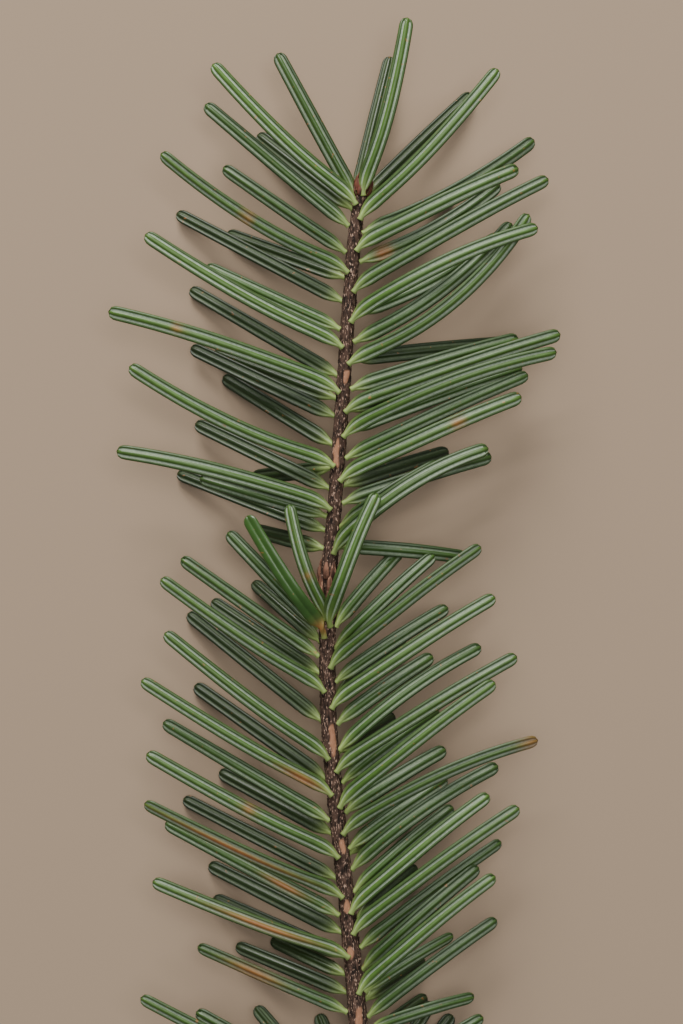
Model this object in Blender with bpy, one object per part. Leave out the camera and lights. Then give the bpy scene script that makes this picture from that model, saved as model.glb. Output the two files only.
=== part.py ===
"""A cut twig of silver fir, lying with the pale underside of its needles up.

The twig is one stem of two years' growth, a sleeve of old bud scales where the
years meet, an end bud, and sprays of needles in ranks down both sides.
Sizes are millimetres, read with the twig lying along +Y, and MM turns them to metres.
"""

import math

import bpy
import numpy as np

MM = 0.001

# Stem: places along its middle line as (height along the twig, sideways place)
STEM_LINE = [(-75, 4.3), (-57.5, 3.0), (-45, 1.8), (-35, 0.75), (-28, 0.0), (-20, -0.7), (-8, -1.0),
             (0, -0.8), (10, 0.0), (25, 1.1), (38, 2.0), (48.5, 3.0), (51.5, 3.5)]
# Stem thickness as (height along the twig, width across)
STEM_WIDTH = [(-75, 2.9), (-58, 2.6), (-45, 2.2), (-10, 2.1), (-3, 2.3), (2, 2.2), (6, 1.95),
              (20, 1.85), (45, 1.85), (51.5, 1.6)]
STEM_HEIGHT = 6.77
STEM_SIDES = 12
STEM_STEP = 6.0
GAP = 0.3

SLEEVE_FOOT, SLEEVE_TOP = -3.9, 1.2
SLEEVE_WALL = 0.4
SLEEVE_LOBES = 5

BUD_LENGTH, BUD_WIDTH = 3.3, 1.8

NEEDLE_WIDTH = 1.95
NEEDLE_THICK = 0.5
STALK_WIDTH = 0.8
RUNNER_RADIUS = 0.24
FOOT_STAND = 0.2

# The measured places are as seen from an eye this far above the stem, over this place
EYE_ABOVE = 379.0
EYE_OVER = np.array([0.9, 9.1])

# Ranks: where round the stem the feet stand (degrees above level), how high the tips
# lie against the stem's middle, how far a needle arches, how it hooks at its foot, and how far it
# bows towards the shoot's end, left and right
RANKS = {
    "back": {"stand": -42.0, "tip": -6.6, "arch": 0.5, "hook": 0.0, "bow": (0.0, 0.1)},
    "side": {"stand": 6.0, "tip": -1.0, "arch": 1.2, "hook": 0.1, "bow": (0.0, 0.3)},
    "front": {"stand": 60.0, "tip": 2.2, "arch": 1.4, "hook": 0.45, "bow": (-0.2, 0.6)},
}
FRONT_ASIDE = 0.4
LIFT_STEP = 0.35
MOST_LIFTS = 22
NEEDLE_ROOM = 0.78

# Bows of the clearly bent needles, towards the shoot's end, by the height of the foot
BENT = {
    51.2: -0.5, 50.0: -0.5, 48.0: -0.5, 46.2: -1.0, 42.4: -1.0, 40.9: -1.0, 35.5: -1.0, 34.3: 1.5,
    31.7: -1.5, 30.9: -0.5, 28.7: -2.5, 24.9: 1.0, 19.0: 1.5, 15.1: -1.0, 9.3: 1.0, 3.4: 2.0,
    -5.3: -0.5, -22.7: 1.0, -34.0: 1.5, -38.6: 1.0,
}

# Each needle: height of its foot, its tip's sideways place and its tip's height
SPRAYS = {
    "back_left_1": [(51.3, 7.4, 69.8), (49.4, -10.3, 59.4), (40.3, -14.4, 46.2), (37.1, -21.1, 48.9)],
    "back_left_2": [(27.2, -19.3, 38.8), (24.2, -16.0, 30.5), (21.8, -19.2, 31.0)],
    "back_left_3": [(18.0, -14.9, 27.1), (15.0, -11.0, 13.7), (12.2, -18.6, 20.9)],
    "back_left_4": [(6.6, -21.0, 14.3), (4.2, -10.8, 6.7)],
    "back_left_5": [(-8.2, -10.9, -0.2), (-12.5, -16.4, -2.7), (-18.8, -19.6, -4.4)],
    "back_left_6": [(-26.6, -18.7, -14.0), (-33.8, -15.4, -25.5), (-39.8, -20.2, -29.1)],
    "back_left_7": [(-47.0, -16.8, -37.9), (-50.2, -16.2, -42.3), (-52.6, -8.5, -47.9),
                    (-55.0, -13.2, -48.7)],
    "back_left_8": [(-71.0, -2.2, -57.8), (-73.0, -10.6, -56.8)],
    "side_left_1": [(51.0, -7.7, 70.2), (47.1, -17.3, 63.4), (43.6, -14.9, 55.0)],
    "side_left_2": [(33.4, -17.2, 41.8)],
    "side_left_3": [(8.5, -18.0, 13.6)],
    "side_left_4": [(-6.4, -14.3, 6.4), (-10.2, -20.5, 2.9)],
    "side_left_5": [(-32.1, -22.9, -18.9), (-44.7, -22.6, -32.3)],
    "side_left_6": [(-57.6, -18.3, -48.8), (-69.4, -18.5, -57.5), (-72.6, -19.6, -63.2)],
    "front_left_1": [(50.0, -16.3, 68.8), (40.9, -23.2, 56.9)],
    "front_left_2": [(30.9, -25.3, 46.1), (24.9, -30.2, 35.8)],
    "front_left_3": [(15.1, -27.4, 28.5), (9.3, -29.1, 17.2)],
    "front_left_4": [(-5.3, -6.1, 10.1), (-7.7, -11.7, 8.6)],
    "front_left_5": [(-15.0, -23.2, 0.2), (-24.0, -22.7, -7.0)],
    "front_left_6": [(-28.8, -25.8, -13.3), (-37.1, -25.1, -23.1)],
    "front_left_7": [(-42.4, -25.4, -29.7), (-50.4, -24.3, -40.1)],
    "front_left_8": [(-70.3, -25.9, -55.6)],
    "back_right_1": [(51.0, 18.3, 64.8), (44.6, 15.5, 51.5)],
    "back_right_2": [(29.5, 24.3, 31.7), (22.6, 16.0, 26.5)],
    "back_right_3": [(12.6, 15.2, 17.2)],
    "back_right_4": [(-15.5, 9.5, -8.2), (-23.0, 8.0, -18.0), (-36.5, 9.8, -31.0)],
    "back_right_5": [(-45.5, 11.0, -38.2), (-56.0, 12.0, -50.5), (-61.5, 12.3, -55.5)],
    "back_right_6": [(-69.4, 12.9, -56.2), (-72.4, 15.7, -57.9)],
    "side_right_1": [(46.2, 26.6, 58.7), (42.4, 22.0, 52.8)],
    "side_right_2": [(35.5, 22.0, 46.0), (31.7, 23.6, 47.6), (25.4, 24.5, 32.2)],
    "side_right_3": [(19.8, 25.0, 28.3), (16.2, 25.8, 27.4), (10.2, 20.9, 16.5)],
    "side_right_4": [(7.0, 14.0, 15.5), (4.4, 17.7, 3.0)],
    "side_right_5": [(-6.2, 9.0, 4.2), (-9.2, 13.3, 3.4), (-13.6, 15.1, -3.6)],
    "side_right_6": [(-19.2, 13.1, -10.1), (-22.7, 19.5, -8.8), (-27.0, 13.9, -17.3)],
    "side_right_7": [(-31.0, 14.8, -22.5), (-35.8, 15.0, -26.4), (-38.6, 21.8, -24.7)],
    "side_right_8": [(-41.6, 15.8, -30.2), (-49.0, 22.2, -34.8), (-51.9, 19.2, -38.2)],
    "side_right_9": [(-54.8, 15.8, -47.3), (-58.2, 21.6, -45.2), (-60.0, 18.6, -55.5)],
    "side_right_10": [(-67.8, 19.8, -58.2), (-72.8, 19.0, -63.0)],
    "front_right_1": [(51.2, 9.7, 75.0), (48.0, 21.8, 68.1)],
    "front_right_2": [(43.8, 24.5, 54.9), (38.3, 28.5, 53.5)],
    "front_right_3": [(28.7, 25.9, 48.8), (34.3, 27.1, 47.0)],
    "front_right_4": [(22.3, 30.1, 32.8), (19.0, 29.6, 30.4)],
    "front_right_6": [(-6.2, 5.7, 11.6), (-11.8, 19.5, 4.5)],
    "front_right_5": [(13.1, 24.9, 24.5), (3.4, 20.5, 17.6)],
    "front_right_7": [(-17.2, 21.4, -2.2), (-25.7, 24.3, -10.1)],
    "front_right_8": [(-30.4, 21.4, -13.6), (-34.0, 27.1, -21.3)],
    "front_right_9": [(-44.5, 20.6, -28.6), (-47.3, 24.6, -30.3)],
    "front_right_10": [(-55.2, 21.4, -39.4)],
}

BARK = (0.075, 0.042, 0.030)
SCALE_BROWN = (0.30, 0.13, 0.075)
NEEDLE_GREEN = (0.075, 0.14, 0.045)


def clear_scene():
    for obj in list(bpy.data.objects):
        bpy.data.objects.remove(obj)


def plain_material(name, colour, roughness):
    material = bpy.data.materials.new(name)
    material.use_nodes = True
    shader = material.node_tree.nodes["Principled BSDF"]
    shader.inputs["Base Color"].default_value = (*colour, 1.0)
    shader.inputs["Roughness"].default_value = roughness
    shader.inputs["Metallic"].default_value = 0.0
    return material


def smooth_through(places, at):
    """A smooth curve through the places: cubic pieces whose slopes are the mean of their neighbours'."""
    y, x = np.array(places, float).T
    slope = np.gradient(x, y)
    k = np.clip(np.searchsorted(y, at) - 1, 0, len(y) - 2)
    span = y[k + 1] - y[k]
    u = np.clip((at - y[k]) / span, 0, 1)
    start = (2 * u**3 - 3 * u**2 + 1) * x[k] + (u**3 - 2 * u**2 + u) * span * slope[k]
    end = (3 * u**2 - 2 * u**3) * x[k + 1] + (u**3 - u**2) * span * slope[k + 1]
    return start + end


def stem_x(height):
    return smooth_through(STEM_LINE, np.asarray(height, float))


def stem_radius(height):
    y, width = np.array(STEM_WIDTH, float).T
    return np.interp(height, y, width) / 2


def loft(rings):
    """Points and faces of a closed solid through equal rings of points, with flat end caps."""
    count, sides = rings.shape[:2]
    points = rings.reshape(-1, 3)
    faces = []
    for ring in range(count - 1):
        for side in range(sides):
            a = ring * sides + side
            b = ring * sides + (side + 1) % sides
            faces.append((a, b, b + sides, a + sides))
    faces.append(tuple(range(sides - 1, -1, -1)))
    faces.append(tuple(range((count - 1) * sides, count * sides)))
    return points, faces


def make_object(name, points, faces, material):
    mesh = bpy.data.meshes.new(name)
    mesh.from_pydata((np.asarray(points) * MM).tolist(), [], faces)
    mesh.update()
    obj = bpy.data.objects.new(name, mesh)
    bpy.context.scene.collection.objects.link(obj)
    mesh.materials.append(material)
    return obj


def round_section(sides):
    turn = 2 * math.pi * np.arange(sides) / sides
    return np.stack([np.sin(turn), np.zeros(sides), np.cos(turn)], 1)


def round_body(heights, radii, sides, shift_x=None):
    """Rings square to the twig along the stem's middle line."""
    across = stem_x(heights) if shift_x is None else shift_x
    middle = np.stack([across, heights, np.full(len(heights), STEM_HEIGHT)], 1)
    return middle[:, None, :] + radii[:, None, None] * round_section(sides)[None]


def make_stem(material):
    heights = np.arange(STEM_LINE[0][0], STEM_LINE[-1][0] + STEM_STEP / 2, STEM_STEP)
    heights[-1] = STEM_LINE[-1][0]
    points, faces = loft(round_body(heights, stem_radius(heights), STEM_SIDES))
    make_object("stem", points, faces, material)


def make_sleeve(material):
    """Old bud scales: a thin sleeve round the stem whose upper edge stands in lobes."""
    sides = 2 * SLEEVE_LOBES
    lobe = np.where(np.arange(sides) % 2, 1.0, 0.0)
    heights = np.array([SLEEVE_FOOT, -1.5, SLEEVE_TOP])
    inner = stem_radius(heights) + GAP
    inner = np.full(len(heights), inner.max() + 0.02)
    outer = inner + SLEEVE_WALL * np.array([0.6, 1.3, 1.0])
    across = np.full(len(heights), stem_x((SLEEVE_FOOT + SLEEVE_TOP) / 2))
    out_rings = round_body(heights, outer, sides, across)
    in_rings = round_body(heights, inner, sides, across)
    out_rings[-1, :, 1] += 1.6 * lobe
    in_rings[-1, :, 1] += 1.6 * lobe
    rings = np.concatenate([out_rings, in_rings[::-1]])
    count = len(rings)
    faces = []
    for ring in range(count):
        for side in range(sides):
            a = ring * sides + side
            b = ring * sides + (side + 1) % sides
            c = ((ring + 1) % count) * sides + (side + 1) % sides
            d = ((ring + 1) % count) * sides + side
            faces.append((a, b, c))
            faces.append((a, c, d))
    make_object("bud_scale_sleeve", rings.reshape(-1, 3), faces, material)


def make_bud(material):
    """The end bud: an egg with a blunt foot, leaning on with the stem."""
    foot = STEM_LINE[-1][0] + GAP
    along = np.array([0.0, 0.12, 0.35, 0.6, 0.85, 1.0])
    swell = np.array([0.62, 0.85, 1.0, 0.9, 0.55, 0.16])
    heights = foot + BUD_LENGTH * along
    across = STEM_LINE[-1][1] + 0.1 + 0.12 * BUD_LENGTH * along
    points, faces = loft(round_body(heights, swell * BUD_WIDTH / 2, 10, across))
    make_object("end_bud", points, faces, material)


def needle_course(rank, side, sizes, lift, t):
    """A needle's middle line: straight from foot to tip, bowed in the middle and hooked at its
    foot, falling or rising to its rank's height, and lifted over the needles that it crosses."""
    rule = RANKS[rank]
    foot_y, tip_x, tip_y = sizes
    bow = BENT.get(foot_y, rule["bow"][side > 0])
    stand = stem_radius(foot_y) + GAP + FOOT_STAND
    if rank == "front":
        off = side * FRONT_ASIDE
        up = math.sqrt(max(stand**2 - off**2, 0.0))
    else:
        turn = math.radians(rule["stand"])
        off = side * stand * math.cos(turn)
        up = stand * math.sin(turn)
    foot = np.array([float(stem_x(foot_y)) + off, foot_y])
    tip = np.array([tip_x, tip_y])
    chord = tip - foot
    beside = np.array([-chord[1], chord[0]]) / np.linalg.norm(chord)
    if beside[1] < 0:
        beside = -beside
    early = np.clip(t / 0.1, 0, None)
    hook = rule["hook"] * early * np.exp(1 - early)
    plan = foot + t[:, None] * chord + (bow * 4 * t * (1 - t) + hook)[:, None] * beside
    ease = np.minimum(t / 0.4, 1.0)
    rise = up + (rule["tip"] - up) * t + rule["arch"] * 4 * t * (1 - t)
    rise = rise + lift * ease * (2 - ease)
    plan = EYE_OVER + (plan - EYE_OVER) * (1 - rise[:, None] / EYE_ABOVE)
    return np.column_stack([plan, STEM_HEIGHT + rise])


def blade_frame(course):
    """Directions along the needle, across its blade and out of its pale face."""
    along = np.gradient(course, axis=0)
    along /= np.linalg.norm(along, axis=1)[:, None]
    across = np.cross(along, [0.0, 0.0, 1.0])
    across /= np.linalg.norm(across, axis=1)[:, None]
    return along, across, np.cross(across, along)


def room_points(course, t):
    _, across, _ = blade_frame(course)
    reach = 0.42 * NEEDLE_WIDTH * np.clip(t / 0.14, 0.3, 1.0)[:, None] * across
    return np.concatenate([course - reach, course, course + reach])


def settle_needles():
    """Lays the ranks from the back to the front, and lifts each needle until it is clear of the
    stem and of every needle that lies there before it. One that finds no room is skipped."""
    t = np.linspace(0, 1, 27)
    placed, kept = [], {}
    heights = np.arange(STEM_LINE[0][0], STEM_LINE[-1][0], 1.0)
    axis = np.stack([stem_x(heights), heights, np.full(len(heights), STEM_HEIGHT)], 1)
    keep_off = stem_radius(heights) + GAP + 0.1
    for name, rows in SPRAYS.items():
        kept[name] = []
    for rank in RANKS:
        for name, rows in SPRAYS.items():
            if not name.startswith(rank):
                continue
            side = -1 if "left" in name else 1
            for sizes in rows:
                for step in range(MOST_LIFTS):
                    course = needle_course(rank, side, sizes, step * LIFT_STEP, t)
                    points = room_points(course, t)
                    near_stem = np.linalg.norm(course[5:, None] - axis[None], axis=2) < keep_off
                    clear = not near_stem.any()
                    for other in placed:
                        if not clear:
                            break
                        apart = np.linalg.norm(points[:, None] - other[None], axis=2).min()
                        clear = apart > NEEDLE_ROOM
                    if clear:
                        placed.append(points)
                        kept[name].append((sizes, step * LIFT_STEP))
                        break
                else:
                    print("skipped", name, sizes)
    return kept


def make_needle(rank, side, sizes, lift):
    t = np.array([0.0, 0.05, 0.14, 0.4, 0.7, 0.92, 1.0])
    breadth = np.array([STALK_WIDTH, STALK_WIDTH, NEEDLE_WIDTH * 0.95, NEEDLE_WIDTH,
                        NEEDLE_WIDTH, NEEDLE_WIDTH * 0.82, NEEDLE_WIDTH * 0.3])
    depth = np.array([0.7, 0.6, NEEDLE_THICK, NEEDLE_THICK, NEEDLE_THICK, NEEDLE_THICK * 0.9,
                      NEEDLE_THICK * 0.7])
    course = needle_course(rank, side, sizes, lift, t)
    _, across, out = blade_frame(course)
    section = [(1, 0), (0.5, -1), (-0.5, -1), (-1, 0), (-0.5, 1), (0.5, 1)]
    rings = np.stack([course + (u * breadth / 2)[:, None] * across + (v * depth / 2)[:, None] * out
                      for u, v in section], 1)
    return loft(rings)


def make_runner(rank, side, rows):
    """A thin three-sided strip of bark from foot to foot, just clear of the stem."""
    feet = np.array([needle_course(rank, side, sizes, 0.0, np.zeros(2))[0] for sizes, _ in rows])
    feet = feet[np.argsort(feet[:, 1])]
    along = np.array([feet[0] - [0, 0.45, 0], *feet, feet[-1] + [0, 0.45, 0]])
    shift = np.interp(along[:, 1], feet[:, 1], feet[:, 0] - stem_x(feet[:, 1]))
    heights = []
    for low, high in zip(along[:-1, 1], along[1:, 1]):
        heights += list(np.linspace(low, high, max(2, int((high - low) / 4) + 2))[:-1])
    heights = np.array(heights + [along[-1, 1]])
    stand = stem_radius(heights) + GAP + FOOT_STAND
    off = np.interp(heights, along[:, 1], shift)
    lean = np.interp(heights, feet[:, 1], feet[:, 2] - STEM_HEIGHT)
    length = np.hypot(off, lean)
    middle = np.stack([stem_x(heights) + off / length * stand, heights,
                       STEM_HEIGHT + lean / length * stand], 1)
    return loft(middle[:, None, :] + RUNNER_RADIUS * round_section(3)[None])


def join_spray(name, solids, material):
    """Joins the loose solids of one spray into one closed body with a Boolean union."""
    parts = [make_object(f"{name}_{i}", points, faces, material)
             for i, (points, faces) in enumerate(solids)]
    rest = bpy.data.collections.new(name + "_rest")
    for obj in parts[1:]:
        rest.objects.link(obj)
    union = parts[0].modifiers.new("join", "BOOLEAN")
    union.operation = "UNION"
    union.operand_type = "COLLECTION"
    union.collection = rest
    union.solver = "MANIFOLD"
    graph = bpy.context.evaluated_depsgraph_get()
    graph.update()
    joined = bpy.data.meshes.new_from_object(parts[0].evaluated_get(graph))
    for obj in parts:
        bpy.data.objects.remove(obj)
    bpy.data.collections.remove(rest)
    joined.name = name
    obj = bpy.data.objects.new(name, joined)
    bpy.context.scene.collection.objects.link(obj)
    return obj


def make_sprays(material):
    for name, rows in settle_needles().items():
        rank = name.split("_")[0]
        side = -1 if "left" in name else 1
        solids = [make_runner(rank, side, rows)]
        solids += [make_needle(rank, side, sizes, lift) for sizes, lift in rows]
        join_spray("spray_" + name, solids, material)


clear_scene()
bark = plain_material("bark", BARK, 0.85)
scales = plain_material("bud_scales", SCALE_BROWN, 0.7)
green = plain_material("needle_green", NEEDLE_GREEN, 0.45)
make_stem(bark)
make_sleeve(scales)
make_bud(scales)
make_sprays(green)
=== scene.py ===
"""A cut twig of silver fir, seen from the pale underside of its needles, lying on a plain floor."""
import math

import bmesh
import bpy
import numpy as np
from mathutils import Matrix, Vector


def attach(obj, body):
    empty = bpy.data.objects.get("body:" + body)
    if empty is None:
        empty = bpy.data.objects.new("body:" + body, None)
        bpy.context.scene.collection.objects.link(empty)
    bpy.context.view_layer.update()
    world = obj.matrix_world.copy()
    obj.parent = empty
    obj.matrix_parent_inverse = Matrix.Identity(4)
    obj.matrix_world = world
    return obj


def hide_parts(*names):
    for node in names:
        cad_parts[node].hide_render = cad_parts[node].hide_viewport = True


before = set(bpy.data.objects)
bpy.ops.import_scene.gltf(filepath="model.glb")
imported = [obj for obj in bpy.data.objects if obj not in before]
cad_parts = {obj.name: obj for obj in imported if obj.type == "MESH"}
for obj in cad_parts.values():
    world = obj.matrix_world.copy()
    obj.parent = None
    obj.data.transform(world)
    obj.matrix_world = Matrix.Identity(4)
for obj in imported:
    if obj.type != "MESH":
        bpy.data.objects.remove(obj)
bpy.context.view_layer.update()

# Camera, floor and light.
# The camera looks straight down on the twig from the height that the picture was taken at.
# A plain warm floor lies just under the lowest needle tips, lit by two soft lights and a pale sky.

# Sizes are millimetres, with the twig lying along +Y, and MM turns them to metres
MM = 0.001
STEM_HEIGHT = 6.77
EYE_ABOVE = 379.0
EYE_OVER = np.array([0.9, 9.1])
NEAREST_SEEN = 10.0
LENS = 100.0
SENSOR_WIDTH = 36.0
SAME_PLACE = 1e-7


def linear(red, green, blue):
    """A colour given as the eye sees it, 0 to 255, turned to the shader's linear values."""
    seen = np.array([red, green, blue]) / 255
    plain = np.where(seen <= 0.04045, seen / 12.92, ((seen + 0.055) / 1.055) ** 2.4)
    return (*plain.tolist(), 1.0)


def new_material(name, colour, roughness, specular=0.5):
    """A plain finish, with nothing metallic about it."""
    material = bpy.data.materials.new(name)
    material.use_nodes = True
    shader = material.node_tree.nodes["Principled BSDF"]
    shader.inputs["Base Color"].default_value = colour
    shader.inputs["Roughness"].default_value = roughness
    shader.inputs["Specular IOR Level"].default_value = specular
    return material


def mesh_object(name, points, faces, materials, face_material=None, layers=()):
    """Mesh from arrays of points in millimetres and of faces with equal corner counts, with the
    named point values. Points that lie on one place become one, which closes seams and poles."""
    mesh = bpy.data.meshes.new(name)
    corners = faces.shape[1]
    mesh.vertices.add(len(points))
    mesh.vertices.foreach_set("co", (points * MM).astype(np.float32).ravel())
    mesh.loops.add(faces.size)
    mesh.loops.foreach_set("vertex_index", faces.astype(np.int32).ravel())
    mesh.polygons.add(len(faces))
    mesh.polygons.foreach_set("loop_start", np.arange(0, faces.size, corners, dtype=np.int32))
    for material in materials:
        mesh.materials.append(material)
    if face_material is not None:
        mesh.polygons.foreach_set("material_index", face_material.astype(np.int32))
    mesh.polygons.foreach_set("use_smooth", np.full(len(faces), True))
    mesh.update(calc_edges=True)
    for layer_name, values in layers:
        layer = mesh.attributes.new(layer_name, "FLOAT", "POINT")
        layer.data.foreach_set("value", values.astype(np.float32).ravel())
    grid = bmesh.new()
    grid.from_mesh(mesh)
    bmesh.ops.remove_doubles(grid, verts=grid.verts, dist=SAME_PLACE)
    grid.to_mesh(mesh)
    grid.free()
    obj = bpy.data.objects.new(name, mesh)
    bpy.context.scene.collection.objects.link(obj)
    return obj


camera_data = bpy.data.cameras.new("camera")
camera_data.lens = LENS
camera_data.sensor_width = SENSOR_WIDTH
camera_data.clip_start = NEAREST_SEEN * MM
camera = bpy.data.objects.new("camera", camera_data)
bpy.context.scene.collection.objects.link(camera)
camera.location = (EYE_OVER[0] * MM, EYE_OVER[1] * MM, (STEM_HEIGHT + EYE_ABOVE) * MM)
bpy.context.scene.camera = camera

FLOOR_SIDE = 3000.0
FLOOR_BELOW = 0.3
FLOOR_COLOUR = linear(163, 142, 121)
floor_points = np.array([[-1, -1, 0], [1, -1, 0], [1, 1, 0], [-1, 1, 0]]) * FLOOR_SIDE / 2
floor_points = floor_points - [0, 0, FLOOR_BELOW]
floor = mesh_object("floor", floor_points, np.array([[0, 1, 2, 3]]),
                    [new_material("floor_plain", FLOOR_COLOUR, 0.9, 0.2)])

# Soft lights: name, place and side of the square in metres, watts, colour
SOFT_LIGHTS = [("sky_window", (-0.16, 0.72, 0.42), 0.42, 10.0, (1.0, 0.98, 0.94)),
               ("high_fill", (0.1, 0.1, 0.9), 0.5, 4.0, (1.0, 0.98, 0.95))]
SKY_COLOUR = (0.86, 0.93, 1.0, 1.0)
SKY_STRENGTH = 0.22

for light_name, place, light_side, watts, light_colour in SOFT_LIGHTS:
    light_data = bpy.data.lights.new(light_name, "AREA")
    light_data.shape = "SQUARE"
    light_data.size = light_side
    light_data.energy = watts
    light_data.color = light_colour
    light = bpy.data.objects.new(light_name, light_data)
    bpy.context.scene.collection.objects.link(light)
    light.location = place
    light.rotation_euler = (-Vector(place)).to_track_quat("-Z", "Y").to_euler()
world = bpy.data.worlds.new("pale_sky")
world.use_nodes = True
world.node_tree.nodes["Background"].inputs["Color"].default_value = SKY_COLOUR
world.node_tree.nodes["Background"].inputs["Strength"].default_value = SKY_STRENGTH
bpy.context.scene.world = world

# Stem.
# Two years' growth of one thin woody shoot, last year's thicker. Its dark brown bark is finely
# ridged lengthwise, specked with pale flakes and worn bare in a few places. It carries the rest.

# The stem's middle line as (height along the twig, sideways place), and its width at some heights
STEM_LINE = [(-75, 4.3), (-57.5, 3.0), (-45, 1.8), (-35, 0.75), (-28, 0.0), (-20, -0.7), (-8, -1.0),
             (0, -0.8), (10, 0.0), (25, 1.1), (38, 2.0), (48.5, 3.0), (51.5, 3.5)]
STEM_WIDTH = [(-75, 2.9), (-58, 2.6), (-45, 2.2), (-10, 2.1), (-3, 2.3), (2, 2.2), (6, 1.95),
              (20, 1.85), (45, 1.85), (51.5, 1.6)]


def smooth_through(places, at):
    """A smooth curve through the places: cubic pieces whose slopes are the mean of their neighbours'."""
    y, x = np.array(places, float).T
    slope = np.gradient(x, y)
    k = np.clip(np.searchsorted(y, at) - 1, 0, len(y) - 2)
    span = y[k + 1] - y[k]
    u = np.clip((at - y[k]) / span, 0, 1)
    start = (2 * u**3 - 3 * u**2 + 1) * x[k] + (u**3 - 2 * u**2 + u) * span * slope[k]
    end = (3 * u**2 - 2 * u**3) * x[k + 1] + (u**3 - u**2) * span * slope[k + 1]
    return start + end


def stem_x(height):
    """Sideways place of the stem's middle line at a height."""
    return smooth_through(STEM_LINE, np.asarray(height, float))


def stem_radius(height):
    """Half the stem's width at a height, straight between the given widths."""
    y, width = np.array(STEM_WIDTH, float).T
    return np.interp(height, y, width) / 2


def ripple(rng, x, y, waves, reach_x, reach_y):
    """Smooth random relief: the sum of sine waves of random direction and phase. Their speed
    along x is drawn about nothing with the given spread, and along y is whole and up to reach_y."""
    total = np.zeros(np.broadcast(x, y).shape)
    for _ in range(waves):
        turn_x = rng.normal(0, reach_x)
        turn_y = rng.integers(-reach_y, reach_y + 1)
        total = total + np.sin(turn_x * x + turn_y * y + rng.uniform(0, 2 * math.pi))
    return total / math.sqrt(waves)


def tube_faces(rows, around):
    """Quads between neighbouring rings of points, closed round each ring."""
    a = np.arange(rows - 1)[:, None] * around + np.arange(around)[None]
    b = np.arange(rows - 1)[:, None] * around + (np.arange(around)[None] + 1) % around
    return np.stack([a, b, b + around, a + around], -1).reshape(-1, 4)


BARK_ROWS = 620
BARK_AROUND = 56
# How high the bark's relief stands: long ridges, lumps and loose flakes
RIDGE_RISE, LUMP_RISE, FLAKE_RISE = 0.035, 0.04, 0.09
FLAKE_START = 0.6
# Waves in each relief: how many, their spread of speed along the stem, and at most round it
RIDGE_WAVES, LUMP_WAVES, FLAKE_WAVES = (26, 0.9, 11), (16, 2.6, 6), (30, 6.0, 16)
# The relief fades out within this length of the cut
CUT_EDGE = 0.8
# Bare peach-coloured patches on the side that shows: middle height, half length, turn from the top
BARE_PATCHES = [(27.2, 0.9, 0.2), (16.6, 2.0, -0.3), (-21.2, 2.0, 0.3), (-35.2, 0.9, 0.2),
                (-43.2, 0.9, 0.0), (-49.5, 1.1, -0.2), (-58.0, 1.1, 0.2)]
BARE_TURN = 0.42
BARE_SHARE = 0.75
BARE_RAGGED = 0.6

bark_rng = np.random.default_rng(5)
heights = np.linspace(STEM_LINE[0][0], STEM_LINE[-1][0], BARK_ROWS)[:, None]
turn = 2 * math.pi * np.arange(BARK_AROUND)[None] / BARK_AROUND
ridges = ripple(bark_rng, heights, turn, *RIDGE_WAVES)
lumps = ripple(bark_rng, heights, turn, *LUMP_WAVES)
flakes = np.clip(ripple(bark_rng, heights, turn, *FLAKE_WAVES) - FLAKE_START, 0, 1)
relief = RIDGE_RISE * ridges + LUMP_RISE * lumps + FLAKE_RISE * flakes
relief = relief * np.clip((heights - STEM_LINE[0][0]) / CUT_EDGE, 0, 1)
radius = stem_radius(heights) + relief
radius[[0, -1]] = 0.0
bark_points = np.stack([stem_x(heights) + radius * np.sin(turn), heights + 0 * turn,
                        STEM_HEIGHT + radius * np.cos(turn)], -1).reshape(-1, 3)
from_top = (turn + math.pi) % (2 * math.pi) - math.pi
bare = np.zeros(relief.shape)
for middle, reach, place in BARE_PATCHES:
    # An oval about the patch's middle, whose edge the bark's lumps make ragged
    away = ((heights - middle) / reach) ** 2 + ((from_top - place) / BARE_TURN) ** 2
    bare = np.maximum(bare, BARE_SHARE * np.clip(2 * (1.1 - away + BARE_RAGGED * lumps), 0, 1))


def shader_group(name, inputs, outputs):
    """A new node group with the named sockets, and its first and last node."""
    tree = bpy.data.node_groups.new(name, "ShaderNodeTree")
    for way, sockets in (("INPUT", inputs), ("OUTPUT", outputs)):
        for socket, kind in sockets.items():
            tree.interface.new_socket(socket, in_out=way, socket_type="NodeSocket" + kind)
    return tree, tree.nodes.new("NodeGroupInput").outputs, tree.nodes.new("NodeGroupOutput").inputs


def add_node(tree, kind, inputs, **settings):
    """A new node with its settings; each named input takes a link from a socket, or a value."""
    node = tree.nodes.new(kind)
    for setting, value in settings.items():
        setattr(node, setting, value)
    for socket, value in inputs.items():
        if isinstance(value, bpy.types.NodeSocket):
            tree.links.new(value, node.inputs[socket])
        else:
            node.inputs[socket].default_value = value
    return node


def math_node(tree, operation, first, second):
    """The sum, difference, product or larger of two values."""
    return add_node(tree, "ShaderNodeMath", {0: first, 1: second}, operation=operation).outputs["Value"]


def share_between(tree, value, low, high):
    """How far the value lies from low to high, kept within 0 to 1."""
    return add_node(tree, "ShaderNodeMapRange",
                    {"Value": value, "From Min": low, "From Max": high}).outputs["Result"]


def noise(tree, where, scale, detail):
    """Smooth random value between 0 and 1 at a place."""
    return add_node(tree, "ShaderNodeTexNoise",
                    {"Vector": where, "Scale": scale, "Detail": detail}).outputs["Fac"]


def blend(tree, factor, first, second, way="MIX"):
    """A colour that goes from the first to the second, or to their product, as the factor grows."""
    return add_node(tree, "ShaderNodeMix", {"Factor": factor, "A": first, "B": second},
                    data_type="RGBA", blend_type=way).outputs["Result"]


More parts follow.
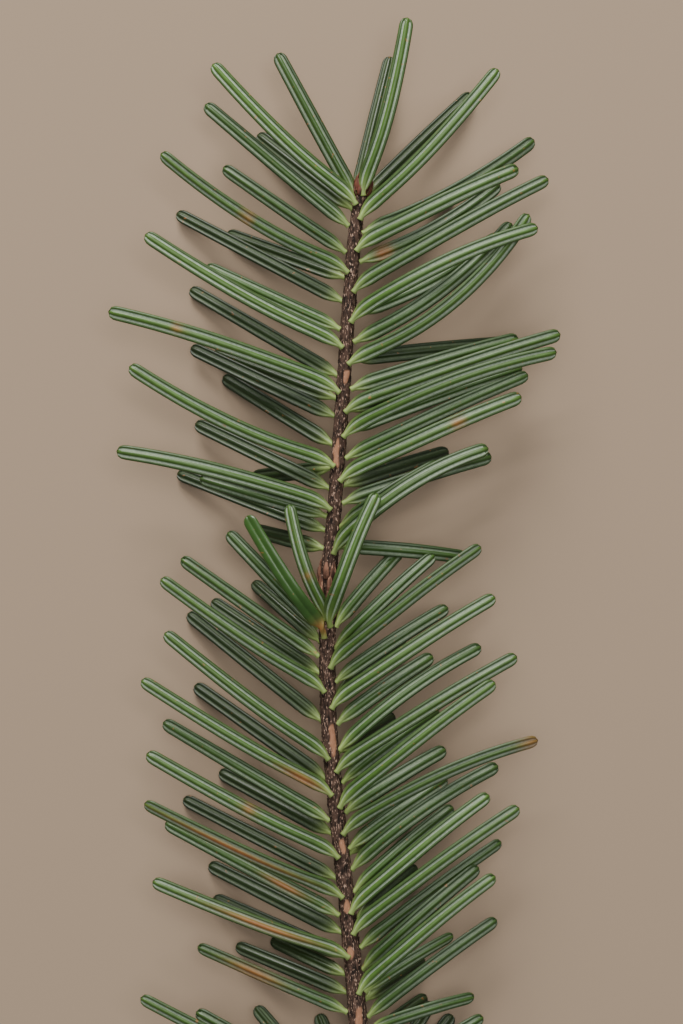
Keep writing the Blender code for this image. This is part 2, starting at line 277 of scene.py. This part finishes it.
def point_value(tree, name):
    """The value that the mesh holds for each of its points."""
    return add_node(tree, "ShaderNodeAttribute", {}, attribute_name=name).outputs["Fac"]


def relief_normal(tree, strength, distance, height):
    """The surface's normal, tilted as if it rose with the height."""
    return add_node(tree, "ShaderNodeBump", {"Strength": strength, "Distance": distance,
                                             "Height": height}).outputs["Normal"]


BARE_BARK = linear(178, 128, 98)
BARK_DEPTH = 0.0001
# The pattern is drawn out along the twig; flakes are finer than blotches and have a soft edge
DRAWN_OUT = (1.0, 0.3, 1.0)
BLOTCH_RANGE = (0.36, 0.62)
FLAKE_FINER = 2.3
FLAKE_EDGE = 0.06


def make_flecked_group():
    """Blotches drawn out along the twig, from dark to mid, with pale flakes on top and the bare
    bark where the point value says, and a relief that follows the blotches."""
    tree, given, result = shader_group(
        "flecked_bark", {"Dark": "Color", "Mid": "Color", "Pale": "Color", "Scale": "Float",
                         "Flake Start": "Float", "Relief": "Float"},
        {"Colour": "Color", "Normal": "Vector"})
    place = add_node(tree, "ShaderNodeTexCoord", {}).outputs["Object"]
    drawn = add_node(tree, "ShaderNodeMapping", {"Vector": place, "Scale": DRAWN_OUT}).outputs["Vector"]
    blotch = noise(tree, drawn, given["Scale"], 6.0)
    ground = blend(tree, share_between(tree, blotch, *BLOTCH_RANGE), given["Dark"], given["Mid"])
    flake = noise(tree, drawn, math_node(tree, "MULTIPLY", given["Scale"], FLAKE_FINER), 3.0)
    flake_end = math_node(tree, "ADD", given["Flake Start"], FLAKE_EDGE)
    flaked = blend(tree, share_between(tree, flake, given["Flake Start"], flake_end), ground, given["Pale"])
    peeled = blend(tree, point_value(tree, "bare"), flaked, BARE_BARK)
    tree.links.new(peeled, result["Colour"])
    tree.links.new(relief_normal(tree, given["Relief"], BARK_DEPTH, blotch), result["Normal"])
    return tree


def use_group(material, group, values):
    """Places the group in the material and feeds its colour and its normal to the shader."""
    tree = material.node_tree
    shader = tree.nodes["Principled BSDF"]
    node = tree.nodes.new("ShaderNodeGroup")
    node.node_tree = group
    for socket, value in values.items():
        node.inputs[socket].default_value = value
    tree.links.new(node.outputs["Colour"], shader.inputs["Base Color"])
    tree.links.new(node.outputs["Normal"], shader.inputs["Normal"])
    return material


flecked_group = make_flecked_group()
bark_material = use_group(
    new_material("bark_brown", linear(60, 42, 35), 0.85, 0.25), flecked_group,
    {"Dark": linear(26, 18, 14), "Mid": linear(80, 60, 50), "Pale": linear(172, 142, 124),
     "Scale": 2800.0, "Flake Start": 0.59, "Relief": 0.9})
stem = mesh_object("stem_bark", bark_points, tube_faces(BARK_ROWS, BARK_AROUND), [bark_material],
                   layers=[("bare", bare)])
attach(stem, "root")
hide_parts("stem")

# Bud scales.
# Where this year's shoot left last year's bud, its papery scales stay as a ragged ring. The end
# bud is a small egg in the same overlapping reddish-brown scales, a little resinous.

SCALE_ROWS = 9
SCALE_HALF_DEPTH = 0.1
SCALE_CROWN = 0.18
# A scale starts this far into its oval, and loses this share of its width by its point
OVAL_START = 0.12
POINT_LOSS = 0.25
# Section of a scale: places across and depths, crowned outside and hollow inside
SCALE_SECTION = np.array([(-1, 0), (-0.6, 0.5), (0, 0.8), (0.6, 0.5),
                          (1, 0), (0.6, -0.5), (0, -0.2), (-0.6, -0.5)])


def scale_ring(scales, middle_line):
    """Papery scales, each given as height, turn round the stem, length, width, and its distances
    from the middle at its foot and its point. Its middle runs straight between those distances,
    crowned by a half sine wave; its width follows an oval that narrows to its point."""
    points, faces, start = [], [], 0
    t = np.linspace(0, 1, SCALE_ROWS)
    around = np.clip(0.9 * t + OVAL_START, 0, 1)
    oval = np.sqrt(np.clip(1 - (2 * around - 1) ** 2, 0, 1)) * (1 - POINT_LOSS * t)
    oval[[0, -1]] = 0.0
    depth = np.full(SCALE_ROWS, SCALE_HALF_DEPTH)
    depth[[0, -1]] = 0.0
    for height, turn, length, width, near, far in scales:
        y = height + length * t
        stand = near + (far - near) * t + SCALE_CROWN * np.sin(math.pi * t) * width
        across = np.array([math.cos(turn), 0.0, -math.sin(turn)])
        out = np.array([math.sin(turn), 0.0, math.cos(turn)])
        course = np.stack([middle_line(y), y, np.full(SCALE_ROWS, STEM_HEIGHT)], 1) + stand[:, None] * out
        wide = (width / 2 * oval)[:, None, None] * SCALE_SECTION[:, :1] * across
        deep = depth[:, None, None] * SCALE_SECTION[:, 1:] * out
        points.append((course[:, None] + wide + deep).reshape(-1, 3))
        faces.append(tube_faces(SCALE_ROWS, len(SCALE_SECTION)) + start)
        start += len(points[-1])
    return np.concatenate(points), np.concatenate(faces)


# Tiers of scales: height, count, length, width, distance from the middle at foot and point
RING_TIERS = [(-4.9, 7, 4.4, 1.15, 1.12, 1.55), (-3.6, 7, 4.2, 1.25, 1.15, 1.7),
              (-2.0, 8, 3.6, 1.1, 1.2, 1.75), (-0.4, 7, 3.0, 1.0, 1.15, 1.5)]
# How far the old scales stray in height and turn, and the least and most share of their length
STRAY_HEIGHT, STRAY_TURN = 0.4, 0.2
RAGGED = (0.75, 1.1)
scale_rng = np.random.default_rng(11)
ring_scales = []
for tier, (base, count, length, width, near, far) in enumerate(RING_TIERS):
    for i in range(count):
        height = base + scale_rng.uniform(-STRAY_HEIGHT, STRAY_HEIGHT)
        scale_turn = 2 * math.pi * (i + 0.5 * tier) / count
        scale_turn += scale_rng.uniform(-STRAY_TURN, STRAY_TURN)
        ragged = length * scale_rng.uniform(*RAGGED)
        ring_scales.append((height, scale_turn, ragged, width, near, far))
scale_material = use_group(
    new_material("old_scale_brown", linear(120, 84, 68), 0.7, 0.3), flecked_group,
    {"Dark": linear(62, 40, 32), "Mid": linear(142, 100, 80), "Pale": linear(186, 142, 116),
     "Scale": 1500.0, "Flake Start": 0.6, "Relief": 0.6})
ring = mesh_object("bud_scale_ring", *scale_ring(ring_scales, stem_x), [scale_material])
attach(ring, "root")
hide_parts("bud_scale_sleeve")

BUD_FOOT = STEM_LINE[-1][0] - 0.5
BUD_ASIDE = 0.1
BUD_LEAN = 0.12
BUD_TIERS = [(0.0, 5, 1.9, 1.5, 0.75, 1.15), (0.7, 5, 1.9, 1.5, 0.95, 1.05),
             (1.5, 5, 1.7, 1.3, 0.92, 0.72), (2.3, 4, 1.5, 1.1, 0.7, 0.3),
             (3.0, 3, 1.1, 0.8, 0.42, 0.08)]
CORE_ROWS = 14
CORE_AROUND = 16
CORE_LENGTH = 3.9
CORE_RADIUS = 0.92
CORE_FULL = 0.97


def bud_line(y):
    """The bud's middle line: from the stem's end it leans on at a fixed slope."""
    return stem_x(STEM_LINE[-1][0]) + BUD_ASIDE + BUD_LEAN * (y - STEM_LINE[-1][0])


bud_scales = [(BUD_FOOT + base, 2 * math.pi * (i + 0.5 * tier) / count, length, width, near, far)
              for tier, (base, count, length, width, near, far) in enumerate(BUD_TIERS)
              for i in range(count)]
bud_points, bud_faces = scale_ring(bud_scales, bud_line)
# Core: an egg, whose radius follows a half circle along its length
core_t = np.linspace(0, 1, CORE_ROWS)[:, None]
core_radius = CORE_RADIUS * np.sqrt(np.clip(1 - (2 * core_t * CORE_FULL - CORE_FULL) ** 2, 0, 1))
core_radius[[0, -1]] = 0.0
core_y = BUD_FOOT + CORE_LENGTH * core_t
core_turn = 2 * math.pi * np.arange(CORE_AROUND)[None] / CORE_AROUND
core = np.stack([bud_line(core_y) + core_radius * np.sin(core_turn), core_y + 0 * core_turn,
                 STEM_HEIGHT + core_radius * np.cos(core_turn)], -1).reshape(-1, 3)
bud_faces = np.concatenate([bud_faces, tube_faces(CORE_ROWS, CORE_AROUND) + len(bud_points)])
bud_material = use_group(
    new_material("bud_scale_red", linear(104, 60, 46), 0.55, 0.4), flecked_group,
    {"Dark": linear(58, 32, 26), "Mid": linear(118, 68, 52), "Pale": linear(160, 112, 90),
     "Scale": 1300.0, "Flake Start": 0.64, "Relief": 0.4})
bud = mesh_object("end_bud_scales", np.concatenate([bud_points, core]), bud_faces, [bud_material])
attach(bud, "root")
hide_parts("end_bud")

# Needles.
# Flat leaves that stand in ranks down both sides of the stem, each on a short pale stalk with a
# round foot. The side that shows is the underside: green margins and midrib with two waxy bands.
# They lie by the same rule as the solids, and each spray of them replaces its solid.

# The solids' feet stand this far out from the stem: a gap, and half the strip that joins them
GAP = 0.3
FOOT_STAND = 0.2
NEEDLE_WIDTH = 1.95
# Ranks: where round the stem the feet stand (degrees above level), how high the tips lie
# against the stem's middle, how far a needle arches, how it hooks at its foot, and how far it
# bows towards the shoot's end, left and right
RANKS = {
    "back": {"stand": -42.0, "tip": -6.6, "arch": 0.5, "hook": 0.0, "bow": (0.0, 0.1)},
    "side": {"stand": 6.0, "tip": -1.0, "arch": 1.2, "hook": 0.1, "bow": (0.0, 0.3)},
    "front": {"stand": 60.0, "tip": 2.2, "arch": 1.4, "hook": 0.45, "bow": (-0.2, 0.6)},
}
FRONT_ASIDE = 0.4
LIFT_STEP = 0.35
MOST_LIFTS = 22
# A needle keeps this far from others and from the stem, as room round points on its middle and
# on both sides of it, which draw in towards its foot
NEEDLE_ROOM = 0.78
STEM_ROOM = 0.1
ROOM_PLACES = 27
ROOM_ASIDE = 0.42
ROOM_FULL_FROM = 0.14
# Shares of its length: where the hook at its foot is most, and where it has its full lift
HOOK_AT = 0.1
LIFTED_AT = 0.4

# Bows of the clearly bent needles, towards the shoot's end, by the height of the foot
BENT = {
    51.2: -0.5, 50.0: -0.5, 48.0: -0.5, 46.2: -1.0, 42.4: -1.0, 40.9: -1.0, 35.5: -1.0, 34.3: 1.5,
    31.7: -1.5, 30.9: -0.5, 28.7: -2.5, 24.9: 1.0, 19.0: 1.5, 15.1: -1.0, 9.3: 1.0, 3.4: 2.0,
    -5.3: -0.5, -22.7: 1.0, -34.0: 1.5, -38.6: 1.0,
}

# Each needle: height of its foot, its tip's sideways place and its tip's height
SPRAYS = {
    "back_left_1": [(51.3, 7.4, 69.8), (49.4, -10.3, 59.4), (40.3, -14.4, 46.2), (37.1, -21.1, 48.9)],
    "back_left_2": [(27.2, -19.3, 38.8), (24.2, -16.0, 30.5), (21.8, -19.2, 31.0)],
    "back_left_3": [(18.0, -14.9, 27.1), (15.0, -11.0, 13.7), (12.2, -18.6, 20.9)],
    "back_left_4": [(6.6, -21.0, 14.3), (4.2, -10.8, 6.7)],
    "back_left_5": [(-8.2, -10.9, -0.2), (-12.5, -16.4, -2.7), (-18.8, -19.6, -4.4)],
    "back_left_6": [(-26.6, -18.7, -14.0), (-33.8, -15.4, -25.5), (-39.8, -20.2, -29.1)],
    "back_left_7": [(-47.0, -16.8, -37.9), (-50.2, -16.2, -42.3), (-52.6, -8.5, -47.9),
                    (-55.0, -13.2, -48.7)],
    "back_left_8": [(-71.0, -2.2, -57.8), (-73.0, -10.6, -56.8)],
    "side_left_1": [(51.0, -7.7, 70.2), (47.1, -17.3, 63.4), (43.6, -14.9, 55.0)],
    "side_left_2": [(33.4, -17.2, 41.8)],
    "side_left_3": [(8.5, -18.0, 13.6)],
    "side_left_4": [(-6.4, -14.3, 6.4), (-10.2, -20.5, 2.9)],
    "side_left_5": [(-32.1, -22.9, -18.9), (-44.7, -22.6, -32.3)],
    "side_left_6": [(-57.6, -18.3, -48.8), (-69.4, -18.5, -57.5), (-72.6, -19.6, -63.2)],
    "front_left_1": [(50.0, -16.3, 68.8), (40.9, -23.2, 56.9)],
    "front_left_2": [(30.9, -25.3, 46.1), (24.9, -30.2, 35.8)],
    "front_left_3": [(15.1, -27.4, 28.5), (9.3, -29.1, 17.2)],
    "front_left_4": [(-5.3, -6.1, 10.1), (-7.7, -11.7, 8.6)],
    "front_left_5": [(-15.0, -23.2, 0.2), (-24.0, -22.7, -7.0)],
    "front_left_6": [(-28.8, -25.8, -13.3), (-37.1, -25.1, -23.1)],
    "front_left_7": [(-42.4, -25.4, -29.7), (-50.4, -24.3, -40.1)],
    "front_left_8": [(-70.3, -25.9, -55.6)],
    "back_right_1": [(51.0, 18.3, 64.8), (44.6, 15.5, 51.5)],
    "back_right_2": [(29.5, 24.3, 31.7), (22.6, 16.0, 26.5)],
    "back_right_3": [(12.6, 15.2, 17.2)],
    "back_right_4": [(-15.5, 9.5, -8.2), (-23.0, 8.0, -18.0), (-36.5, 9.8, -31.0)],
    "back_right_5": [(-45.5, 11.0, -38.2), (-56.0, 12.0, -50.5), (-61.5, 12.3, -55.5)],
    "back_right_6": [(-69.4, 12.9, -56.2), (-72.4, 15.7, -57.9)],
    "side_right_1": [(46.2, 26.6, 58.7), (42.4, 22.0, 52.8)],
    "side_right_2": [(35.5, 22.0, 46.0), (31.7, 23.6, 47.6), (25.4, 24.5, 32.2)],
    "side_right_3": [(19.8, 25.0, 28.3), (16.2, 25.8, 27.4), (10.2, 20.9, 16.5)],
    "side_right_4": [(7.0, 14.0, 15.5), (4.4, 17.7, 3.0)],
    "side_right_5": [(-6.2, 9.0, 4.2), (-9.2, 13.3, 3.4), (-13.6, 15.1, -3.6)],
    "side_right_6": [(-19.2, 13.1, -10.1), (-22.7, 19.5, -8.8), (-27.0, 13.9, -17.3)],
    "side_right_7": [(-31.0, 14.8, -22.5), (-35.8, 15.0, -26.4), (-38.6, 21.8, -24.7)],
    "side_right_8": [(-41.6, 15.8, -30.2), (-49.0, 22.2, -34.8), (-51.9, 19.2, -38.2)],
    "side_right_9": [(-54.8, 15.8, -47.3), (-58.2, 21.6, -45.2), (-60.0, 18.6, -55.5)],
    "side_right_10": [(-67.8, 19.8, -58.2), (-72.8, 19.0, -63.0)],
    "front_right_1": [(51.2, 9.7, 75.0), (48.0, 21.8, 68.1)],
    "front_right_2": [(43.8, 24.5, 54.9), (38.3, 28.5, 53.5)],
    "front_right_3": [(28.7, 25.9, 48.8), (34.3, 27.1, 47.0)],
    "front_right_4": [(22.3, 30.1, 32.8), (19.0, 29.6, 30.4)],
    "front_right_6": [(-6.2, 5.7, 11.6), (-11.8, 19.5, 4.5)],
    "front_right_5": [(13.1, 24.9, 24.5), (3.4, 20.5, 17.6)],
    "front_right_7": [(-17.2, 21.4, -2.2), (-25.7, 24.3, -10.1)],
    "front_right_8": [(-30.4, 21.4, -13.6), (-34.0, 27.1, -21.3)],
    "front_right_9": [(-44.5, 20.6, -28.6), (-47.3, 24.6, -30.3)],
    "front_right_10": [(-55.2, 21.4, -39.4)],
}


def needle_course(rank, side, sizes, lift, t, stand_off=GAP + FOOT_STAND):
    """A needle's middle line: straight from foot to tip, bowed by a parabola in the middle and
    hooked at its foot, falling or rising to its rank's height, and lifted over the needles that it
    crosses. The last step draws it towards the point under the camera by its height."""
    rule = RANKS[rank]
    foot_y, tip_x, tip_y = sizes
    bow = BENT.get(foot_y, rule["bow"][side > 0])
    stand = stem_radius(foot_y) + stand_off
    if rank == "front":
        off = side * FRONT_ASIDE
        up = math.sqrt(max(stand**2 - off**2, 0.0))
    else:
        turn = math.radians(rule["stand"])
        off = side * stand * math.cos(turn)
        up = stand * math.sin(turn)
    foot = np.array([float(stem_x(foot_y)) + off, foot_y])
    tip = np.array([tip_x, tip_y])
    chord = tip - foot
    beside = np.array([-chord[1], chord[0]]) / np.linalg.norm(chord)
    if beside[1] < 0:
        beside = -beside
    early = np.clip(t / HOOK_AT, 0, None)
    hook = rule["hook"] * early * np.exp(1 - early)
    plan = foot + t[:, None] * chord + (bow * 4 * t * (1 - t) + hook)[:, None] * beside
    ease = np.minimum(t / LIFTED_AT, 1.0)
    rise = up + (rule["tip"] - up) * t + rule["arch"] * 4 * t * (1 - t)
    rise = rise + lift * ease * (2 - ease)
    plan = EYE_OVER + (plan - EYE_OVER) * (1 - rise[:, None] / EYE_ABOVE)
    return np.column_stack([plan, STEM_HEIGHT + rise])


def blade_frame(course):
    """Directions along the needle, across its blade and out of its pale face."""
    along = np.gradient(course, axis=0)
    along /= np.linalg.norm(along, axis=1)[:, None]
    across = np.cross(along, [0.0, 0.0, 1.0])
    across /= np.linalg.norm(across, axis=1)[:, None]
    return along, across, np.cross(across, along)


def room_points(course, t):
    """The needle's middle and both edges, closer together near its foot."""
    _, across, _ = blade_frame(course)
    reach = ROOM_ASIDE * NEEDLE_WIDTH * np.clip(t / ROOM_FULL_FROM, 0.3, 1.0)[:, None] * across
    return np.concatenate([course - reach, course, course + reach])


def settle_needles():
    """Lays the ranks from the back to the front, and lifts each needle until it is clear of the
    stem and of every needle that lies there before it. One that finds no room is skipped."""
    t = np.linspace(0, 1, ROOM_PLACES)
    placed = []
    kept = {name: [] for name in SPRAYS}
    heights = np.arange(STEM_LINE[0][0], STEM_LINE[-1][0], 1.0)
    axis = np.stack([stem_x(heights), heights, np.full(len(heights), STEM_HEIGHT)], 1)
    keep_off = stem_radius(heights) + GAP + STEM_ROOM
    for rank in RANKS:
        for name, rows in SPRAYS.items():
            if not name.startswith(rank):
                continue
            side = -1 if "left" in name else 1
            for sizes in rows:
                for step in range(MOST_LIFTS):
                    course = needle_course(rank, side, sizes, step * LIFT_STEP, t)
                    points = room_points(course, t)
                    near_stem = np.linalg.norm(course[5:, None] - axis[None], axis=2) < keep_off
                    clear = not near_stem.any()
                    for other in placed:
                        if not clear:
                            break
                        apart = np.linalg.norm(points[:, None] - other[None], axis=2).min()
                        clear = apart > NEEDLE_ROOM
                    if clear:
                        placed.append(points)
                        kept[name].append((sizes, step * LIFT_STEP))
                        break
                else:
                    print("skipped", name, sizes)
    return kept


# Section of a needle: places across (-1 to 1) and depths, first over the pale underside from
# edge to edge with its two hollow bands and raised midrib, then back over the grooved green side
HALF_UNDER = np.array([(0.1, 1.2), (0.2, 1.02), (0.28, 0.72), (0.34, 0.5), (0.47, 0.42), (0.6, 0.5),
                       (0.67, 0.72), (0.76, 0.8), (0.88, 0.62), (0.97, 0.25), (1, -0.2)])
HALF_GREEN = np.array([(0.93, -0.5), (0.7, -0.85), (0.4, -1.0), (0.12, -0.75)])
OTHER_WAY = np.array([-1, 1])
SECTION = np.concatenate([HALF_UNDER[::-1] * OTHER_WAY, HALF_UNDER, HALF_GREEN, [(0.0, -0.55)],
                          HALF_GREEN[::-1] * OTHER_WAY])
ROUND_SECTION = np.column_stack([SECTION[:, 0], np.sign(SECTION[:, 1] + 0.01)
                                 * np.sqrt(np.clip(1 - SECTION[:, 0] ** 2, 0, 1))])
FACE_MIDDLE = np.abs(SECTION[:, 0] + np.roll(SECTION[:, 0], -1)) / 2
IS_UNDER = np.arange(len(SECTION)) < 2 * len(HALF_UNDER) - 1
MARGIN, BAND, MIDRIB, UPPER = range(4)
MARGIN_FROM, BAND_FROM = 0.6, 0.32
COLUMN_KIND = np.select([~IS_UNDER, FACE_MIDDLE > MARGIN_FROM, FACE_MIDDLE > BAND_FROM],
                        [UPPER, MARGIN, BAND], MIDRIB)

NEEDLE_ROWS = 40
# This share of the rows makes this share of the length, nearest the foot
FOOT_ROWS, FOOT_END = 0.3, 0.135
TIP_CLOSER = 1.35
# Half widths and half depths: the foot on the bark, the thin stalk, then the blade, which swells
# over a stretch and tapers a little towards its rounded tip, where the bands stop short
BARK_STAND = 0.02
FOOT_RADIUS, FOOT_REACH, FOOT_FLAT = 0.52, 0.24, 0.8
STALK_HALF, STALK_LENGTH, SWELL_LENGTH = 0.37, 0.6, 2.6
STALK_DEPTH, BLADE_DEPTH = 0.4, 0.28
TAPER, TAPER_FROM = 0.10, 0.55
TIP_LENGTH, TIP_WIDTH, TIP_DEPTH = 1.15, 0.06, 0.25
GREEN_TIP = 0.45
# A blade's least and most width, as shares of the solid needle's
FULLER = (1.02, 1.14)
# Roll about its length, in degrees, that leans a needle's pale side towards the shoot's end
ROLL = {"back": 4, "side": 14, "front": 14}
ROLL_SPREAD = 7
ROLLED_AT, TURNED_AT = 0.2, 0.12
# Needles, by the height of the foot, whose glossy green side shows
TURNED_OVER = (-7.7,)


def needle_surface(rank, side, sizes, lift, rng):
    """One needle as rows of its section from foot to tip, with close rows at foot and tip. Its
    half width is the larger of a bell curve at the foot and a blade that swells by a quarter
    sine wave and closes in a quarter circle at its tip. The section turns from round to flat."""
    u = np.linspace(0, 1, NEEDLE_ROWS)
    foot_rows = FOOT_END * (u / FOOT_ROWS) ** 1.5
    beyond = np.maximum(u - FOOT_ROWS, 0) / (1 - FOOT_ROWS)
    blade_rows = FOOT_END + (1 - FOOT_END) * (1 - (1 - beyond) ** TIP_CLOSER)
    t = np.where(u < FOOT_ROWS, foot_rows, blade_rows)
    t[-1] = 1.0
    course = needle_course(rank, side, sizes, lift, t, BARK_STAND)
    length = np.linalg.norm(course[-1] - course[0])
    along_mm = t * length
    foot = FOOT_RADIUS * np.exp(-(along_mm / FOOT_REACH) ** 2)
    grown = np.clip((along_mm - STALK_LENGTH) / SWELL_LENGTH, 0, 1)
    full = NEEDLE_WIDTH / 2 * rng.uniform(*FULLER)
    blade = STALK_HALF + (full - STALK_HALF) * np.sin(grown * math.pi / 2)
    blade = blade * (1 - TAPER * np.clip(t - TAPER_FROM, 0, 1) / (1 - TAPER_FROM))
    left = (1 - t) * length
    tip = np.sqrt(np.clip(1 - (1 - np.clip(left / TIP_LENGTH, 0, 1)) ** 2, 0, 1))
    half_width = np.maximum(blade * (TIP_WIDTH + (1 - TIP_WIDTH) * tip), foot)
    half_depth = STALK_DEPTH + (BLADE_DEPTH - STALK_DEPTH) * grown
    half_depth = np.maximum(half_depth * (TIP_DEPTH + (1 - TIP_DEPTH) * tip), FOOT_FLAT * foot)
    half_width[[0, -1]] = 0.0
    half_depth[[0, -1]] = 0.0
    _, across, out = blade_frame(course)
    roll = math.radians(rng.normal(ROLL[rank], ROLL_SPREAD)) * np.clip(t / ROLLED_AT, 0, 1)
    roll = roll * -np.sign(across[NEEDLE_ROWS // 2, 1])
    if sizes[0] in TURNED_OVER:
        roll = roll + math.pi * np.clip(t / TURNED_AT, 0, 1)
    turned_across = np.cos(roll)[:, None] * across - np.sin(roll)[:, None] * out
    turned_out = np.sin(roll)[:, None] * across + np.cos(roll)[:, None] * out
    section = SECTION + (1 - grown)[:, None, None] * (ROUND_SECTION - SECTION)
    points = (course[:, None] + (half_width[:, None] * section[..., 0])[..., None] * turned_across[:, None]
              + (half_depth[:, None] * section[..., 1])[..., None] * turned_out[:, None])
    kind = np.tile(COLUMN_KIND, (NEEDLE_ROWS - 1, 1))
    middle = (along_mm[1:] + along_mm[:-1]) / 2
    kind[(middle > length - GREEN_TIP)[:, None] & (kind == BAND)] = MARGIN
    return points, kind, along_mm


STALK_GREEN = linear(150, 172, 96)
SCAR_BROWN = linear(172, 106, 58)
LEAF_DEPTH = 0.00005
FLECK_SCALE = 1300.0
FLECK_SHARE = 0.45
FLECK_RANGE = (0.70, 0.74)
DRIFT_FROM, DRIFT_TO = 0.3, 0.7


def make_leaf_group():
    """Living leaf: its colour drifts along the needle and takes the needle's own tone, turns pale
    green where the point value says young, and brown where it is browned or finely flecked."""
    tree, given, result = shader_group(
        "living_leaf", {"Colour": "Color", "Scale": "Float", "Contrast": "Float", "Relief": "Float"},
        {"Colour": "Color", "Normal": "Vector"})
    place = add_node(tree, "ShaderNodeTexCoord", {}).outputs["Object"]
    drift = noise(tree, place, given["Scale"], 5.0)
    darkest = math_node(tree, "SUBTRACT", 1.0, given["Contrast"])
    palest = math_node(tree, "ADD", 1.0, given["Contrast"])
    shade = add_node(tree, "ShaderNodeMapRange",
                     {"Value": drift, "From Min": DRIFT_FROM, "From Max": DRIFT_TO,
                      "To Min": darkest, "To Max": palest}).outputs["Result"]
    tone = math_node(tree, "MULTIPLY", shade, point_value(tree, "tone"))
    fleck = share_between(tree, noise(tree, place, FLECK_SCALE, 2.0), *FLECK_RANGE)
    flecked = math_node(tree, "MULTIPLY", fleck, FLECK_SHARE)
    brown = math_node(tree, "MAXIMUM", flecked, point_value(tree, "browned"))
    greened = blend(tree, point_value(tree, "young"), given["Colour"], STALK_GREEN)
    marked = blend(tree, brown, greened, SCAR_BROWN)
    tree.links.new(blend(tree, 1.0, marked, tone, "MULTIPLY"), result["Colour"])
    tree.links.new(relief_normal(tree, given["Relief"], LEAF_DEPTH, drift), result["Normal"])
    return tree


leaf_group = make_leaf_group()

# What the parts of a needle's section share on every rank, in the order of MARGIN to UPPER:
# roughness, specular, and the leaf group's scale, contrast and relief
LEAF_FINISH = {"margin": (0.42, 0.5, 900.0, 0.18, 0.25), "band": (0.6, 0.4, 2600.0, 0.2, 0.5),
               "midrib": (0.38, 0.5, 700.0, 0.15, 0.25), "upper": (0.3, 0.5, 600.0, 0.15, 0.25)}
# Greens of each rank in the same order, darker towards the back: painted shade, as the side and back ranks
# lie under the front ones
RANK_GREENS_WITH_PAINTED_SHADE = {"front": [(56, 82, 32), (146, 162, 138), (70, 102, 37), (52, 84, 31)],
               "side": [(46, 70, 29), (124, 140, 114), (58, 88, 33), (44, 74, 28)],
               "back": [(34, 50, 22), (72, 86, 60), (38, 56, 21), (36, 58, 24)]}
# Each rank gets its own copy of every finish, and the darker copies for the side and back ranks carry
# painted shade
needle_sets_with_painted_shade = {rank: [use_group(new_material(f"{part}_{rank}", linear(*green), roughness, specular),
                                leaf_group, {"Colour": linear(*green), "Scale": scale,
                                             "Contrast": contrast, "Relief": depth})
                      for (part, (roughness, specular, scale, contrast, depth)), green
                      in zip(LEAF_FINISH.items(), greens)]
               for rank, greens in RANK_GREENS_WITH_PAINTED_SHADE.items()}

# Brown stretches of a needle by the height of its foot: where they are most, how far they reach
# either way (both as shares of the length), where they lie across it, how wide, and how strong
BROWN_MARKS = {-42.4: (0.55, 0.3, -0.1, 0.35, 1.0), -44.7: (0.32, 0.1, 0.0, 0.4, 0.8),
               -50.4: (0.43, 0.22, -0.05, 0.4, 0.9), 40.9: (0.52, 0.025, 0.0, 1.2, 0.7),
               -37.1: (0.47, 0.03, 0.2, 0.8, 0.6), -57.6: (0.62, 0.16, -0.1, 0.7, 0.7),
               13.1: (0.66, 0.03, 0.1, 0.6, 0.8), -5.3: (0.39, 0.03, 0.1, 0.7, 0.5),
               -28.8: (0.16, 0.1, -0.3, 0.5, 0.9), 42.4: (0.16, 0.05, 0.0, 0.9, 0.8),
               -7.7: (0.07, 0.05, 0.0, 1.5, 0.9), -34.0: (0.97, 0.06, 0.0, 1.2, 0.6),
               24.9: (0.71, 0.02, 0.2, 0.6, 0.6)}
NO_MARK = (0.0, 1.0, 0.0, 1.0, 0.0)
# How far up its stalk a needle is pale green, and the least and most of each needle's own tone
YOUNG_REACH = 1.7
TONES = (0.82, 1.16)

needle_rng = np.random.default_rng(3)
needle_faces = tube_faces(NEEDLE_ROWS, len(SECTION))
for spray_name, rows in settle_needles().items():
    rank = spray_name.split("_")[0]
    side = -1 if "left" in spray_name else 1
    points, kinds, tones, young, browned = [], [], [], [], []
    for sizes, lift in rows:
        shape, kind, along_mm = needle_surface(rank, side, sizes, lift, needle_rng)
        share = (along_mm / along_mm[-1])[:, None]
        young.append(np.repeat(np.exp(-(along_mm / YOUNG_REACH) ** 2), len(SECTION)))
        most, reach, place, wide, strong = BROWN_MARKS.get(sizes[0], NO_MARK)
        brown = np.exp(-((share - most) / reach) ** 2 - ((SECTION[:, 0][None] - place) / wide) ** 2)
        browned.append((strong * brown).ravel())
        points.append(shape.reshape(-1, 3))
        kinds.append(kind.ravel())
        tones.append(np.full(shape.size // 3, needle_rng.uniform(*TONES)))
    faces = [needle_faces + i * NEEDLE_ROWS * len(SECTION) for i in range(len(rows))]
    spray = mesh_object("needles_" + spray_name, np.concatenate(points), np.concatenate(faces),
                        needle_sets_with_painted_shade[rank], np.concatenate(kinds),
                        layers=[("tone", np.concatenate(tones)), ("young", np.concatenate(young)),
                                ("browned", np.concatenate(browned))])
    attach(spray, "root")
    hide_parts("spray_" + spray_name)
